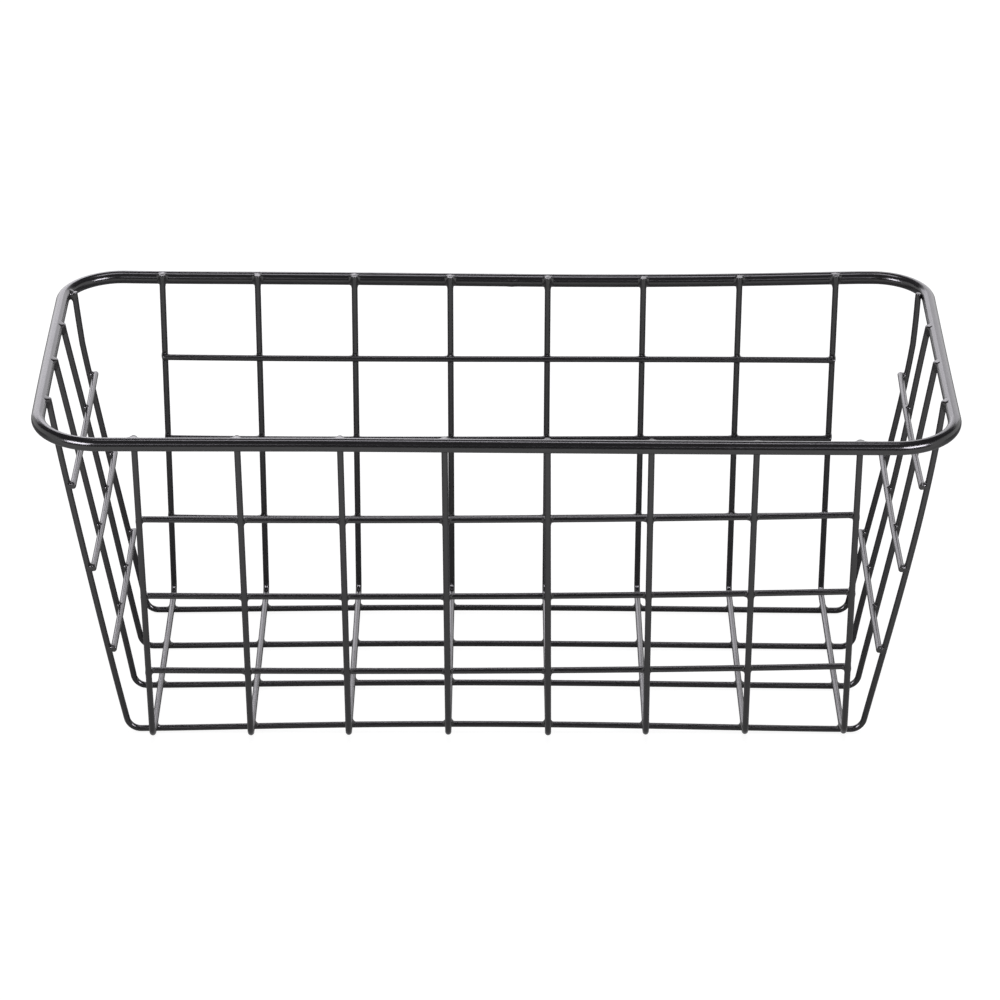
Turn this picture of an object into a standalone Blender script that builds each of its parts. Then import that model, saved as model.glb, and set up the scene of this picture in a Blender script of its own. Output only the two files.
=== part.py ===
"""Wall basket of welded steel wire.

A thick rim loop carries eight front-to-back U wires and four side-to-side U wires, whose ends meet its inner
side. The side-to-side wires run lowest, so the basket stands on them, and the front-to-back wires lie across
them. Three straight rails stiffen each wall from the inside. The back wall is nearly upright, to hang against
a wall, and the other three walls lean in toward the floor.

+X runs along the basket, +Y points to the wall behind it and +Z is up. The origin lies on the surface that the
basket stands on, under the middle of the rim.
"""

import math
from collections import namedtuple

import bmesh
import bpy
from mathutils import Vector

MM = 0.001

# Driving dimensions of the rim, along its centre line
RIM_LENGTH = 358.4 * MM
RIM_WIDTH = 158.0 * MM
RIM_HEIGHT = 149.7 * MM
RIM_CORNER_RADIUS = 27.0 * MM
RIM_DIAMETER = 5.0 * MM

# Driving dimensions of the thin wires
WIRE_DIAMETER = 2.3 * MM
BEND_RADIUS = 4.6 * MM
FRONT_TO_BACK_COUNT = 8
SIDE_TO_SIDE_COUNT = 4
RAIL_COUNT = 3

# How far each wall's foot stands in from its top
FRONT_LEAN = 22.7 * MM
BACK_LEAN = 2.2 * MM
END_LEAN = 25.2 * MM

# A side-to-side wire that ends in the rim's corners bends in toward them this far below the rim's centre line
CROOK_DROP = 22.0 * MM

# Where the thin wires cross the floor, measured in from the foot of the wall beside them
OUTER_WIRE_INSET = 10.0 * MM
BACK_WIRE_INSET = 12.5 * MM
FRONT_WIRE_INSET = 12.1 * MM
# Each space between side-to-side wires is wider than the one behind it by this much
SPACE_STEP = 1.85 * MM

# Rails: the first one's drop below the rim's centre line, and the last one's height above the surface
FRONT_RAIL_DROP = 38.1 * MM
FRONT_RAIL_LIFT = 37.3 * MM
BACK_RAIL_DROP = 34.6 * MM
BACK_RAIL_LIFT = 40.5 * MM
END_RAIL_DROP = 36.8 * MM
END_RAIL_LIFT = 38.9 * MM
RAIL_OVERHANG = 0.35 * MM

# How far the sheared wire ends stand above the rim's centre line
BACK_END_RISE = 2.5 * MM
OTHER_END_RISE = 1.2 * MM

# Welded wires keep this space between their surfaces
WELD_GAP = 0.3 * MM

# Fineness of the solids
WIRE_SIDES = 12
RIM_SIDES = 16
BEND_STEPS = 6
CORNER_STEPS = 10
SHARP_ANGLE = math.radians(40.0)

# Satin black powder coat
COAT_COLOUR = (0.022, 0.021, 0.023, 1.0)
COAT_ROUGHNESS = 0.38
COAT_METALLIC = 0.0

# Sizes that follow from the ones above
WIRE_RADIUS = WIRE_DIAMETER / 2.0
RIM_RADIUS = RIM_DIAMETER / 2.0
CROSSING = WIRE_DIAMETER + WELD_GAP
LOW_RUN_HEIGHT = WIRE_RADIUS
HIGH_RUN_HEIGHT = LOW_RUN_HEIGHT + CROSSING

X_AXIS = Vector((1.0, 0.0, 0.0))
Y_AXIS = Vector((0.0, 1.0, 0.0))
Z_AXIS = Vector((0.0, 0.0, 1.0))

# A wall's wires in profile: how far out they stand at the rim and at the foot, and the height of their floor run
Wall = namedtuple("Wall", "top_out foot_out foot_height")


def make_wall(rim_out, lean, foot_height):
    """The profile of a wall whose wires lean in by `lean` and touch the rim's inner side with the weld gap."""
    slant = math.atan2(lean, RIM_HEIGHT - foot_height)
    seat = (RIM_RADIUS + WIRE_RADIUS + WELD_GAP) / math.cos(slant)
    top_out = rim_out - seat
    return Wall(top_out, top_out - lean, foot_height)


def out_at(wall, height):
    """How far out the wall's wires stand at a height, on their centre line."""
    rise = (height - wall.foot_height) / (RIM_HEIGHT - wall.foot_height)
    return wall.foot_out + (wall.top_out - wall.foot_out) * rise


def rail_out(wall, height):
    """How far out a rail's centre stands at a height, welded to the inner side of the wall's wires."""
    slant = math.atan2(wall.top_out - wall.foot_out, RIM_HEIGHT - wall.foot_height)
    return out_at(wall, height) - CROSSING / math.cos(slant)


FRONT_WALL = make_wall(RIM_WIDTH / 2.0, FRONT_LEAN, HIGH_RUN_HEIGHT)
BACK_WALL = make_wall(RIM_WIDTH / 2.0, BACK_LEAN, HIGH_RUN_HEIGHT)
END_WALL = make_wall(RIM_LENGTH / 2.0, END_LEAN, LOW_RUN_HEIGHT)


def front_to_back_places():
    """Places along X of the front-to-back wires, evenly spread between the end walls' feet."""
    outer = END_WALL.foot_out - OUTER_WIRE_INSET
    pitch = 2.0 * outer / (FRONT_TO_BACK_COUNT - 1)
    return [index * pitch - outer for index in range(FRONT_TO_BACK_COUNT)]


def side_to_side_places():
    """Places along Y of the side-to-side wires, from the back to the front, each space a step wider."""
    back = BACK_WALL.foot_out - BACK_WIRE_INSET
    front = FRONT_WIRE_INSET - FRONT_WALL.foot_out
    spaces = SIDE_TO_SIDE_COUNT - 1
    mean_space = (back - front) / spaces
    places = [back]
    for index in range(spaces):
        step = SPACE_STEP * (index - (spaces - 1) / 2.0)
        places.append(places[-1] - mean_space - step)
    return places


def end_leg(place, top):
    """Corners of an end wall's wire in profile, as (out, height) from its sheared end down to its foot.

    In the rim's corners the end stands further in, so the wire has a slight crook below it.
    """
    foot = (END_WALL.foot_out, LOW_RUN_HEIGHT)
    into_corner = abs(place) - (RIM_WIDTH / 2.0 - RIM_CORNER_RADIUS)
    if into_corner <= 0.0:
        return [(out_at(END_WALL, top), top), foot]
    seat = RIM_LENGTH / 2.0 - END_WALL.top_out
    inner_radius = max(RIM_CORNER_RADIUS - seat, into_corner)
    rim_out = RIM_LENGTH / 2.0 - RIM_CORNER_RADIUS + math.sqrt(inner_radius ** 2 - into_corner ** 2)
    crook_height = RIM_HEIGHT - CROOK_DROP
    crook_out = out_at(END_WALL, crook_height)
    end_out = rim_out + (rim_out - crook_out) * (top - RIM_HEIGHT) / CROOK_DROP
    return [(end_out, top), (crook_out, crook_height), foot]


def rail_heights(drop, lift):
    """Heights of a wall's rails, from the top one down, evenly spread between the drop and the lift."""
    top = RIM_HEIGHT - drop
    space = (top - lift) / (RAIL_COUNT - 1)
    return [top - index * space for index in range(RAIL_COUNT)]


def round_corner(before, corner, after, radius, steps):
    """Points along the arc that rounds the corner of a path."""
    incoming = (corner - before).normalized()
    outgoing = (after - corner).normalized()
    turn = incoming.angle(outgoing)
    tangent_length = radius * math.tan(turn / 2.0)
    start = corner - incoming * tangent_length
    inward = (outgoing - incoming * math.cos(turn)).normalized()
    centre = start + inward * radius
    points = []
    for step in range(steps + 1):
        angle = turn * step / steps
        points.append(centre - inward * (radius * math.cos(angle)) + incoming * (radius * math.sin(angle)))
    return points


def bent_path(points, radius, steps):
    """A path through the points, with each corner between the first and the last rounded."""
    path = [points[0]]
    for before, corner, after in zip(points, points[1:], points[2:]):
        path.extend(round_corner(before, corner, after, radius, steps))
    path.append(points[-1])
    return path


def closed_path(points, radius, steps):
    """A closed loop through the points, with every corner rounded."""
    path = []
    count = len(points)
    for index, corner in enumerate(points):
        path.extend(round_corner(points[index - 1], corner, points[(index + 1) % count], radius, steps))
    return path


def tangent_at(path, index, closed):
    """Direction of a path at one of its points, midway between the runs on both sides."""
    last = len(path) - 1
    before = path[index - 1] if index > 0 or closed else path[0]
    after = path[(index + 1) % len(path)] if index < last or closed else path[last]
    into = (path[index] - before).normalized()
    out = (after - path[index]).normalized()
    return (into + out).normalized()


def add_coat(tube):
    """Give a tube its own coat of paint."""
    coat = bpy.data.materials.new(tube.name + "_coat")
    coat.use_nodes = True
    surface = coat.node_tree.nodes["Principled BSDF"]
    surface.inputs["Base Color"].default_value = COAT_COLOUR
    surface.inputs["Roughness"].default_value = COAT_ROUGHNESS
    surface.inputs["Metallic"].default_value = COAT_METALLIC
    tube.data.materials.append(coat)


def make_tube(name, path, normal, radius, sides, closed=False):
    """A round bar along a path that lies in the plane square to `normal`.

    The bar's flats stand at the true radius, and four of them face along the normal and square to it, so that
    straight runs have real flat faces below and behind.
    """
    mesh_builder = bmesh.new()
    corner_radius = radius / math.cos(math.pi / sides)
    rings = []
    for index, point in enumerate(path):
        sideways = tangent_at(path, index, closed).cross(normal)
        ring = []
        for side in range(sides):
            angle = (side + 0.5) * 2.0 * math.pi / sides
            offset = normal * math.cos(angle) + sideways * math.sin(angle)
            ring.append(mesh_builder.verts.new(point + offset * corner_radius))
        rings.append(ring)
    ring_pairs = list(zip(rings, rings[1:]))
    if closed:
        ring_pairs.append((rings[-1], rings[0]))
    for near, far in ring_pairs:
        for side in range(sides):
            after = (side + 1) % sides
            mesh_builder.faces.new((near[side], near[after], far[after], far[side]))
    if not closed:
        mesh_builder.faces.new(reversed(rings[0]))
        mesh_builder.faces.new(rings[-1])
    bmesh.ops.recalc_face_normals(mesh_builder, faces=mesh_builder.faces)
    mesh = bpy.data.meshes.new(name)
    mesh_builder.to_mesh(mesh)
    mesh_builder.free()
    mesh.shade_smooth()
    mesh.set_sharp_from_angle(angle=SHARP_ANGLE)
    tube = bpy.data.objects.new(name, mesh)
    bpy.context.scene.collection.objects.link(tube)
    add_coat(tube)
    return tube


def make_rim():
    """The thick loop that carries every wire."""
    half_length = RIM_LENGTH / 2.0
    half_width = RIM_WIDTH / 2.0
    corners = [
        Vector((half_length, half_width, RIM_HEIGHT)),
        Vector((-half_length, half_width, RIM_HEIGHT)),
        Vector((-half_length, -half_width, RIM_HEIGHT)),
        Vector((half_length, -half_width, RIM_HEIGHT)),
    ]
    path = closed_path(corners, RIM_CORNER_RADIUS, CORNER_STEPS)
    return make_tube("rim", path, Z_AXIS, RIM_RADIUS, RIM_SIDES, closed=True)


def make_front_to_back_wires():
    """U wires that form the front wall, the floor's upper layer and the back wall."""
    wires = []
    back_top = RIM_HEIGHT + BACK_END_RISE
    front_top = RIM_HEIGHT + OTHER_END_RISE
    for number, place in enumerate(front_to_back_places(), start=1):
        profile = [
            Vector((place, out_at(BACK_WALL, back_top), back_top)),
            Vector((place, BACK_WALL.foot_out, HIGH_RUN_HEIGHT)),
            Vector((place, -FRONT_WALL.foot_out, HIGH_RUN_HEIGHT)),
            Vector((place, -out_at(FRONT_WALL, front_top), front_top)),
        ]
        path = bent_path(profile, BEND_RADIUS, BEND_STEPS)
        wires.append(make_tube(f"front_to_back_wire_{number}", path, X_AXIS, WIRE_RADIUS, WIRE_SIDES))
    return wires


def make_side_to_side_wires():
    """U wires that form the end walls and the floor's lower layer, which the basket stands on."""
    wires = []
    top = RIM_HEIGHT + OTHER_END_RISE
    for number, place in enumerate(side_to_side_places(), start=1):
        leg = end_leg(place, top)
        left = [Vector((-out, place, height)) for out, height in leg]
        right = [Vector((out, place, height)) for out, height in reversed(leg)]
        path = bent_path(left + right, BEND_RADIUS, BEND_STEPS)
        wires.append(make_tube(f"side_to_side_wire_{number}", path, Y_AXIS, WIRE_RADIUS, WIRE_SIDES))
    return wires


def make_long_rails(label, wall, outward, drop, lift):
    """Straight rails along the front or the back wall, which end just past the outer wires."""
    reach = front_to_back_places()[-1] + WIRE_RADIUS + RAIL_OVERHANG
    rails = []
    for number, height in enumerate(rail_heights(drop, lift), start=1):
        across = outward * rail_out(wall, height)
        path = [Vector((-reach, across, height)), Vector((reach, across, height))]
        rails.append(make_tube(f"{label}_rail_{number}", path, Y_AXIS, WIRE_RADIUS, WIRE_SIDES))
    return rails


def make_end_rails(label, outward):
    """Straight rails across an end wall, from just behind the back wire to just before the front wire."""
    places = side_to_side_places()
    overhang = WIRE_RADIUS + RAIL_OVERHANG
    rails = []
    for number, height in enumerate(rail_heights(END_RAIL_DROP, END_RAIL_LIFT), start=1):
        out = outward * rail_out(END_WALL, height)
        path = [Vector((out, places[0] + overhang, height)), Vector((out, places[-1] - overhang, height))]
        rails.append(make_tube(f"{label}_rail_{number}", path, Z_AXIS, WIRE_RADIUS, WIRE_SIDES))
    return rails


def clear_scene():
    """Remove every object of the scene."""
    for thing in list(bpy.data.objects):
        bpy.data.objects.remove(thing, do_unlink=True)


def main():
    clear_scene()
    make_rim()
    make_front_to_back_wires()
    make_side_to_side_wires()
    make_long_rails("front", FRONT_WALL, -1.0, FRONT_RAIL_DROP, FRONT_RAIL_LIFT)
    make_long_rails("back", BACK_WALL, 1.0, BACK_RAIL_DROP, BACK_RAIL_LIFT)
    make_end_rails("left", -1.0)
    make_end_rails("right", 1.0)


if __name__ == "__main__":
    main()
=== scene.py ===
"""Wall basket of welded steel wire in a satin black powder coat, dressed over its CAD frame.

The rim bar and each wire are a round profile carried along a path, with the slight bows that welding leaves.
Each weld is a fillet that flows from one bar to the other where they cross. Everything is in metres, in the
frame of the CAD part: +X runs along the basket, +Y points to the wall behind it and +Z is up.
"""

import math
from functools import partial

import bpy
import numpy as np
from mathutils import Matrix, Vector


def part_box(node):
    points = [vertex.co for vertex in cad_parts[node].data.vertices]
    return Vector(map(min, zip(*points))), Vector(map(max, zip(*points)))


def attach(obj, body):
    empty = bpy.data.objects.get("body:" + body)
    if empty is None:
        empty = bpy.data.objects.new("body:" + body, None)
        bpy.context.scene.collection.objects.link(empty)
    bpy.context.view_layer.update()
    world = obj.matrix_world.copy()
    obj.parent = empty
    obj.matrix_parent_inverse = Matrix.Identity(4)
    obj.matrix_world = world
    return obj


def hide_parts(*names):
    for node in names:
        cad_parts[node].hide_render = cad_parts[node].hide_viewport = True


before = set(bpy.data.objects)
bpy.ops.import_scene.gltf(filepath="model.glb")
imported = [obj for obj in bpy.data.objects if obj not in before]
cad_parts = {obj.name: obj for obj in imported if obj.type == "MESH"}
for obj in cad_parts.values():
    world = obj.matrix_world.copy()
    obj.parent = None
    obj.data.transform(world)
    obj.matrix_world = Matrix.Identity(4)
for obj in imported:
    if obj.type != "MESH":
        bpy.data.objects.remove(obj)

bl_info = {
    "name": "Welded wire wall basket",
    "version": (1, 0, 0),
    "blender": (4, 5, 0),
    "location": "3D View > Sidebar > Wall basket",
    "description": "Dresses the CAD frame of a welded wire basket in satin black powder coat",
    "category": "Add Mesh",
}

ONLY_BODY = "root"
MM = 0.001

FRONT_TO_BACK_COUNT = 8
SIDE_TO_SIDE_COUNT = 4
RAIL_COUNT = 3

# The coated bars look a little fuller than their nominal sizes in the CAD frame
RIM_BAR = 5.38 * MM
WIRE = 2.53 * MM

# Fineness of the surfaces
WIRE_SPACING = 2.5 * MM
RIM_SPACING = 1.2 * MM
BEND_POINTS = 18
CORNER_POINTS = 48
WIRE_SIDES = 24
RIM_SIDES = 40
CUT_RINGS = 5
WELD_SIDES = 20
WELD_RINGS = 10
WELD_HALVINGS = 24
STEEPEST_RING = math.radians(78.0)

X_AXIS = np.array((1.0, 0.0, 0.0))
Y_AXIS = np.array((0.0, 1.0, 0.0))
Z_AXIS = np.array((0.0, 0.0, 1.0))


def span(node, axis):
    """Size of a CAD node along one axis."""
    low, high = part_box(node)
    return high[axis] - low[axis]


def middle(node, axis):
    """Middle of a CAD node along one axis."""
    low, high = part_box(node)
    return (low[axis] + high[axis]) / 2.0


# Settings that a user would change

def a_length(name, description, default):
    """A length in metres."""
    return bpy.props.FloatProperty(name=name, description=description, unit="LENGTH", default=default)


def lengths(name, description, *millimetres):
    """A row of lengths, written in millimetres."""
    return bpy.props.FloatVectorProperty(
        name=name, description=description, unit="LENGTH", size=len(millimetres),
        default=tuple(value * MM for value in millimetres))


def a_share(name, description, default):
    """A share of something else."""
    return bpy.props.FloatProperty(name=name, description=description, subtype="FACTOR", default=default)


def a_number(name, description, default):
    """A number without a unit."""
    return bpy.props.FloatProperty(name=name, description=description, default=default)


def numbers(name, description, *values, subtype="NONE"):
    """A row of numbers."""
    return bpy.props.FloatVectorProperty(
        name=name, description=description, subtype=subtype, size=len(values), default=values)


def a_colour(name, description, red, green, blue):
    """An opaque colour."""
    return bpy.props.FloatVectorProperty(
        name=name, description=description, subtype="COLOR", size=4, default=(red, green, blue, 1.0),
        min=0.0, max=1.0)


class RimSizes(bpy.types.PropertyGroup):
    """The thick loop that carries every wire."""

    bar_diameter: a_length("Bar diameter", "Thickness of the coated rim bar", RIM_BAR)
    length: a_length("Length", "Length of the rim along its centre line", span("rim", 0) - RIM_BAR)
    width: a_length("Width", "Width of the rim along its centre line", span("rim", 1) - RIM_BAR)
    height: a_length("Height", "Height of the rim's centre line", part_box("rim")[1][2] - RIM_BAR / 2.0)
    corner_radius: a_length("Corner radius", "Radius of the rim's corners, on the centre line", 25.2 * MM)
    tight_corners: lengths(
        "Tight corners", "How much tighter the back corners are bent: right, left", 3.6, 1.4)
    butt_weld_place: a_length("Butt weld place", "Where the bar's ends meet, along the back run", 6.2 * MM)
    butt_weld_length: a_length("Butt weld length", "Half length of the swelling at the butt weld", 1.1 * MM)
    butt_weld_swell: a_length(
        "Butt weld swell", "How far the butt weld stands proud on its inner side", 0.22 * MM)


class WireSizes(bpy.types.PropertyGroup):
    """The thin wires and how they meet."""

    diameter: a_length("Diameter", "Thickness of the coated thin wires", WIRE)
    bend_radius: a_length(
        "Bend radius", "Radius of the front-to-back wires' bends, on the centre line", 4.6 * MM)
    end_bend_radius: a_length(
        "End bend radius", "Radius of the side-to-side wires' bends, on the centre line", 5.6 * MM)
    rim_depth: a_length("Rim depth", "How far the wires' sides stand in the rim's inner side", 0.195 * MM)
    weld_depth: a_length("Weld depth", "How far welding presses crossing wires into each other", 0.4 * MM)
    rim_press: a_length("Rim press", "How far welding presses the back wires' ends out", 0.45 * MM)
    cut_round: a_length("Cut round", "Radius that the coat gives to a sheared end", 0.28 * MM)
    front_lean: a_length("Front lean", "How far the front wall's foot stands in", 22.7 * MM)
    back_lean: a_length("Back lean", "How far the back wall's foot stands in", 2.2 * MM)
    end_lean: a_length("End lean", "How far an end wall's foot stands in", 25.2 * MM)
    crook_drop: a_length(
        "Crook drop", "How far below the rim a wire that ends in its corner bends in", 22.0 * MM)
    back_end_rise: a_length(
        "Back end rise", "How far the back wall's wire ends stand above the rim's centre line", 2.675 * MM)
    other_end_rise: a_length(
        "Other end rise", "How far the other wire ends stand above the rim's centre line", 1.375 * MM)
    rail_shortness: a_length(
        "Rail shortness", "How far short of the outer wire's side a long rail ends", 0.25 * MM)


class Bows(bpy.types.PropertyGroup):
    """How far welding and bending have set the bars out of true.

    A bow's terms a, b, c and on give the offset a + b u + c u² and on, at the share u of the half length.
    """

    rim_front: lengths("Rim front", "Rise of the rim's front run, in four terms", -0.47, -1.10, 0.02, 0.30)
    rim_back: lengths(
        "Rim back", "Rise of the rim's back run, in six terms", -1.30, -1.43, 1.22, 2.85, 0.06, -1.35)
    rim_front_in: a_length("Rim front in", "How far in the rim's front run stands", 0.9 * MM)
    rim_pull: lengths(
        "Rim pull", "How far in the rim's corners are: back left, front left, back right and front right",
        0.0, 1.35, 0.7, 0.0)
    front_rails: lengths("Front rails", "Rise of the front rails, in four terms", -0.22, 1.21, 1.29, 0.07)
    back_top_rail: lengths(
        "Back top rail", "Rise of the back's top rail, in four terms", -0.33, -0.08, 0.18, -0.48)
    back_low_rail: lengths(
        "Back low rail", "Rise of the back's lowest rail, in four terms", -0.4, 1.21, 0.89, -0.56)
    floor_arch: lengths(
        "Floor arch", "Rise of the floor at mid length: at the back, middle and front", 1.3, 1.4, 2.35)
    floor_lean: a_share("Floor lean", "Share by which the arch's top stands to the left", 0.25)
    floor_fall: a_number("Floor fall", "Power of the arch: above 1 it falls off sooner toward the ends", 1.6)


class WeldSizes(bpy.types.PropertyGroup):
    """The fillets of coated metal at the crossings."""

    fillet: a_length("Fillet", "How widely a weld flows from one wire to the other", 1.6 * MM)
    rim_fillet: a_length("Rim fillet", "How widely a weld flows from a wire to the rim", 1.8 * MM)
    reach: a_length("Reach", "Radius of the ball round a crossing that holds its weld", 3.4 * MM)
    rim_reach: a_length(
        "Rim reach", "Radius of the ball round a wire's end that holds its weld to the rim", 3.8 * MM)
    sink: a_length(
        "Sink", "How far a weld's skin lies below a bar's skin where the two run together", 0.03 * MM)
    unevenness: a_share("Unevenness", "Share by which the welds differ from each other", 0.12)
    seed: bpy.props.IntProperty(name="Seed", description="Picks the unevenness of the welds", default=7)


class CoatLook(bpy.types.PropertyGroup):
    """The satin black powder coat."""

    colour: a_colour("Colour", "Colour of the powder coat", 0.022, 0.021, 0.023)
    # A lighter colour where the coat is thin over sheared ends, weld crests and the butt weld: partly a
    # thinner coat, partly a painted highlight for the glints there
    thin_coat_highlight_colour: a_colour(
        "Thin coat highlight colour", "Colour where the coat is thin over sheared ends and weld crests", 0.05, 0.046, 0.046)
    dust_colour: a_colour("Dust colour", "Colour of the faint dust on top", 0.2, 0.19, 0.2)
    roughness: a_share("Roughness", "Mean roughness of the satin coat", 0.2)
    roughness_spread: a_share("Roughness spread", "How far the roughness strays from its mean", 0.06)
    ripple_depth: a_length("Ripple depth", "Depth of the coat's orange peel", 0.0035 * MM)


class StudioLook(bpy.types.PropertyGroup):
    """Floor, lamps, cards and camera."""

    floor_colour: a_colour("Floor colour", "Colour of the pale floor", 0.8, 0.8, 0.8)
    shadow_strength: a_share("Shadow strength", "Share of the floor's light that a shadow can take", 0.1)
    room_light: a_number("Room light", "Strength of the even light from all round", 0.45)
    # Painted light and painted shadow on the floor that only reflections see: bright in front, dark under the
    # basket, bright far behind
    near_floor_painted_light: a_number(
        "Near floor painted light", "How bright reflections show the floor in front", 0.95)
    under_floor_painted_shadow: a_number(
        "Under floor painted shadow", "How bright reflections show the floor under the basket", 0.05)
    far_floor_painted_light: a_number("Far floor painted light", "How bright reflections show the floor far behind", 0.9)
    top_light: a_number("Top light", "Radiance of the strip overhead", 6.5)
    back_left_light: numbers(
        "Back left light", "Radiance of the softboxes behind on the left, from the top down", 3.8, 2.2, 1.3)
    back_right_light: numbers(
        "Back right light", "Radiance of the softboxes behind on the right, from the top down", 2.1, 1.3, 0.7)
    corner_light: a_number(
        "Corner light", "Radiance of the small softboxes that gleam in the rim's corners", 26.0)
    front_light: a_number(
        "Front light", "Radiance of the small lamps that draw a line near the rim's front corners", 3.5)
    camera_place: numbers(
        "Camera place", "Where the camera stands", 0.00579, -1.5275, 0.8732, subtype="TRANSLATION")
    camera_turn: numbers(
        "Camera turn", "How the camera is turned", math.radians(62.722), 0.0, math.radians(0.158),
        subtype="EULER")
    camera_lens: a_number("Camera lens", "Focal length of the camera in millimetres", 151.77)


# Shapes as arrays of points

def unit(vectors):
    """Vectors divided by their length."""
    return vectors / np.linalg.norm(vectors, axis=-1, keepdims=True)


def rounded_corner(before, corner, after, radius, count):
    """Arc of a corner: centre - inward radius cos(angle) + incoming radius sin(angle), over the turn."""
    incoming = unit(corner - before)
    outgoing = unit(after - corner)
    turn = math.acos(float(np.clip(incoming @ outgoing, -1.0, 1.0)))
    inward = unit(outgoing - incoming * math.cos(turn))
    centre = corner - incoming * radius * math.tan(turn / 2.0) + inward * radius
    angle = np.linspace(0.0, turn, count)[:, None]
    return centre - inward * radius * np.cos(angle) + incoming * radius * np.sin(angle)


def run_between(start, end, spacing):
    """Straight run between two points, both left out: start + (end - start) times an even share."""
    count = max(1, round(float(np.linalg.norm(end - start)) / spacing))
    share = np.linspace(0.0, 1.0, count + 1)[1:-1, None]
    return start + (end - start) * share


def joined_by_runs(arcs, spacing):
    """Path through a list of arcs, with a straight run from each to the next."""
    parts = [arcs[0]]
    for here, there in zip(arcs, arcs[1:]):
        parts.extend((run_between(here[-1], there[0], spacing), there))
    return np.concatenate(parts)


def open_path(corners, radius):
    """Path through the corners, with each corner between the first and the last rounded."""
    arcs = [corners[:1]]
    for before, corner, after in zip(corners, corners[1:], corners[2:]):
        arcs.append(rounded_corner(before, corner, after, radius, BEND_POINTS))
    arcs.append(corners[-1:])
    return joined_by_runs(arcs, WIRE_SPACING)


def closed_path(corners, radii):
    """Loop through the corners, each rounded to its own radius."""
    befores = np.roll(corners, 1, axis=0)
    afters = np.roll(corners, -1, axis=0)
    arcs = []
    for before, corner, after, radius in zip(befores, corners, afters, radii):
        arcs.append(rounded_corner(before, corner, after, radius, CORNER_POINTS))
    last_run = run_between(arcs[-1][-1], arcs[0][0], RIM_SPACING)
    return np.concatenate((joined_by_runs(arcs, RIM_SPACING), last_run))


def path_directions(path, closed):
    """Direction of a path at each point, midway between the run before it and the run after it."""
    onward = unit(np.roll(path, -1, axis=0) - path)
    if not closed:
        onward[-1] = onward[-2]
    before = np.roll(onward, 1, axis=0)
    if not closed:
        before[0] = onward[0]
    return unit(onward + before)


def cut_end(end, inward, radius, cut_round):
    """Centres and radii of the rings that close a sheared end, from its flat face to the full wire.

    With an angle from 0 to a quarter turn, the rounded edge has the radius r - e + e sin(angle) at the depth
    e - e cos(angle), where e is the rounding.
    """
    angle = np.linspace(0.0, math.pi / 2.0, CUT_RINGS)
    radii = radius - cut_round + cut_round * np.sin(angle)
    depths = cut_round - cut_round * np.cos(angle)
    flat = np.array(((radius - cut_round) / 2.0,))
    depths = np.concatenate((np.zeros(1), depths))
    return end + inward * depths[:, None], np.concatenate((flat, radii))


def wire_rings(path, radius, cut_round):
    """Centres and radii of all the rings of a wire with two sheared ends."""
    first, first_radii = cut_end(path[0], unit(path[1] - path[0]), radius, cut_round)
    last, last_radii = cut_end(path[-1], unit(path[-2] - path[-1]), radius, cut_round)
    centres = np.concatenate((first, path[1:-1], last[::-1]))
    radii = np.concatenate((first_radii, np.full(len(path) - 2, radius), last_radii[::-1]))
    return centres, radii


def carried_circle(centres, directions, facing, radii, sides):
    """Circle carried along a path: centre + r (up cos(angle) + sideways sin(angle)) for each ring."""
    sideways = unit(np.cross(directions, facing))
    up = np.cross(sideways, directions)
    angle = np.linspace(0.0, 2.0 * math.pi, sides, endpoint=False)[None, :, None]
    offset = up[:, None, :] * np.cos(angle) + sideways[:, None, :] * np.sin(angle)
    return centres[:, None, :] + offset * radii[:, :, None]


def grid_faces(rings, sides, closed):
    """Four-sided faces between neighbours on a grid of rings, which joins up round each ring."""
    count = rings if closed else rings - 1
    ring = np.arange(count)[:, None]
    side = np.arange(sides)[None, :]
    after_ring = (ring + 1) % rings
    after_side = (side + 1) % sides
    corners = (
        ring * sides + side,
        ring * sides + after_side,
        after_ring * sides + after_side,
        after_ring * sides + side,
    )
    return np.stack(np.broadcast_arrays(*corners), axis=-1).reshape(-1, 4)


def pole_faces(first, sides, pole, outward):
    """Three-sided faces from a ring, whose vertices start at first, to its pole."""
    side = np.arange(sides)
    after = (side + 1) % sides
    corners = (first + after, first + side) if outward else (first + side, first + after)
    return np.stack((*corners, np.full(sides, pole)), axis=-1)


def closed_ends(grid, start_pole, end_pole):
    """Points and faces of a grid of rings, closed by one pole at each end."""
    rings, sides = grid.shape[:2]
    total = rings * sides
    points = np.concatenate((grid.reshape(-1, 3), start_pole[None], end_pole[None]))
    faces = grid_faces(rings, sides, closed=False).tolist()
    faces += pole_faces(0, sides, total, outward=True).tolist()
    faces += pole_faces(total - sides, sides, total + 1, outward=False).tolist()
    return points, faces


def add_mesh(name, points, faces, material):
    """An object in the scene with a mesh of its own."""
    mesh = bpy.data.meshes.new(name)
    mesh.from_pydata(points, [], faces)
    mesh.materials.append(material)
    thing = bpy.data.objects.new(name, mesh)
    bpy.context.scene.collection.objects.link(thing)
    return thing


def add_piece(name, points, faces, thin, coat, nodes=()):
    """A finished piece of the basket, on the only body, with its coat and how thin that is at each point,
    where the thin coat's lighter colour is partly a painted highlight.
    """
    piece = add_mesh(name, points, faces, coat)
    piece.data.shade_smooth()
    thin_coat_and_highlight = piece.data.attributes.new("thin_coat_and_highlight", "FLOAT", "POINT")
    thin_coat_and_highlight.data.foreach_set("value", thin.astype(np.float32))
    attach(piece, ONLY_BODY)
    if nodes:
        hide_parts(*nodes)


# The coat is thin, with a lighter colour that is partly a painted highlight, up to so many radii from the
# middle of a sheared end, and full so many radii further
THIN_REACH = 0.8
THIN_FADE = 0.6


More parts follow.
